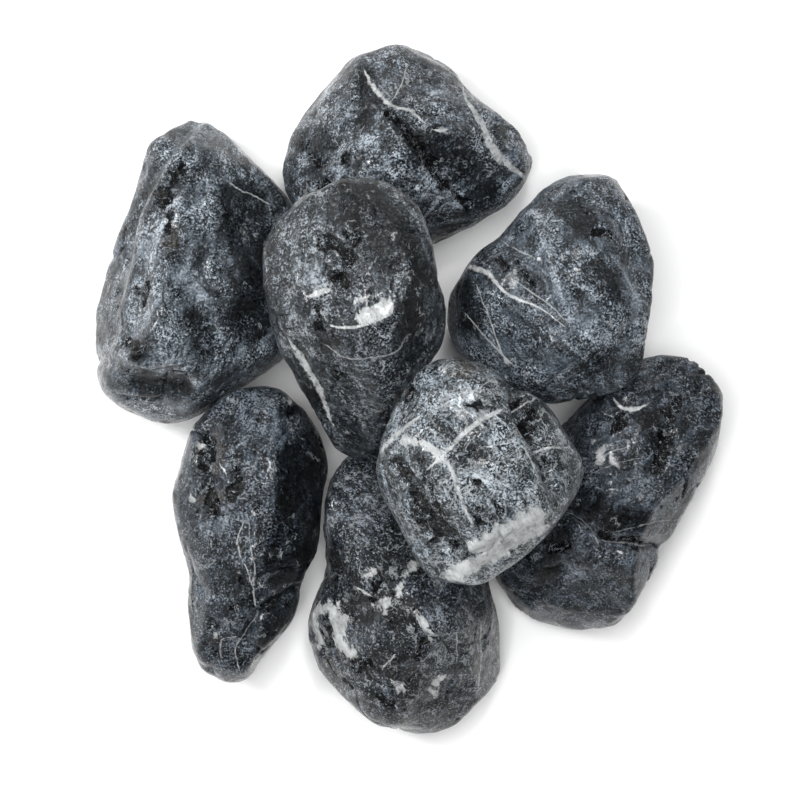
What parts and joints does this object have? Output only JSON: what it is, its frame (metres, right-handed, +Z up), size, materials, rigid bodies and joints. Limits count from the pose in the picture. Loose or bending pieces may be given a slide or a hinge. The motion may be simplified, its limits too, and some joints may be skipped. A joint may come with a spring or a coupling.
{
  "type": "tumbled stone pile",
  "caption": "Pile of loose palm-sized tumbled stones for warm or cold massage, dark blue-grey veined limestone with worn flats to rest on.",
  "frame": {"origin": "middle of the pile's box in plan, on the ground that the stones lie on", "axes": "+Z up, +Y from the front stone to the back stone, the pile's longest way, +X to the right"},
  "size_m": [0.1872, 0.206, 0.0725],
  "materials": {
    "front_rock": "tumbled and oiled, blotched with white calcite",
    "front_right_rock": "tumbled and oiled, dark, pitted",
    "front_left_rock": "tumbled and oiled, dark, fine veins",
    "left_rock": "tumbled and oiled, grey, ridged",
    "back_rock": "tumbled and oiled, crossed by white veins",
    "right_rock": "tumbled and oiled, one thick white vein",
    "middle_rock": "tumbled and oiled, broken dark pits and a white patch",
    "top_rock": "tumbled and oiled, paler, banded with white calcite"
  },
  "bodies": {
    "front": {"front_stone": "front_rock"},
    "front_right": {"front_right_stone": "front_right_rock"},
    "front_left": {"front_left_stone": "front_left_rock"},
    "left": {"left_stone": "left_rock"},
    "back": {"back_stone": "back_rock"},
    "right": {"right_stone": "right_rock"},
    "middle": {"middle_stone": "middle_rock"},
    "top": {"top_stone": "top_rock"}
  },
  "joints": [
    {"name": "pick_front_right", "type": "slide", "parent": "front", "child": "front_right", "axis": [0.7698, -0.539, 0.342], "range_m": [0, 0.12]},
    {"name": "pick_front_left", "type": "slide", "parent": "front", "child": "front_left", "axis": [-0.604, -0.7198, 0.342], "range_m": [0, 0.12]},
    {"name": "pick_left", "type": "slide", "parent": "front", "child": "left", "axis": [-0.5785, 0.7405, 0.342], "range_m": [0, 0.12]},
    {"name": "pick_back", "type": "slide", "parent": "front", "child": "back", "axis": [0.604, 0.7198, 0.342], "range_m": [0, 0.12]},
    {"name": "pick_right", "type": "slide", "parent": "front", "child": "right", "axis": [0.5826, 0.6943, 0.4226], "range_m": [0, 0.12]},
    {"name": "pick_middle", "type": "slide", "parent": "front", "child": "middle", "axis": [-0.3535, 0.3535, 0.866], "range_m": [0, 0.12]},
    {"name": "pick_top", "type": "slide", "parent": "front", "child": "top", "axis": [0, 0, 1], "range_m": [0, 0.12]}
  ]
}
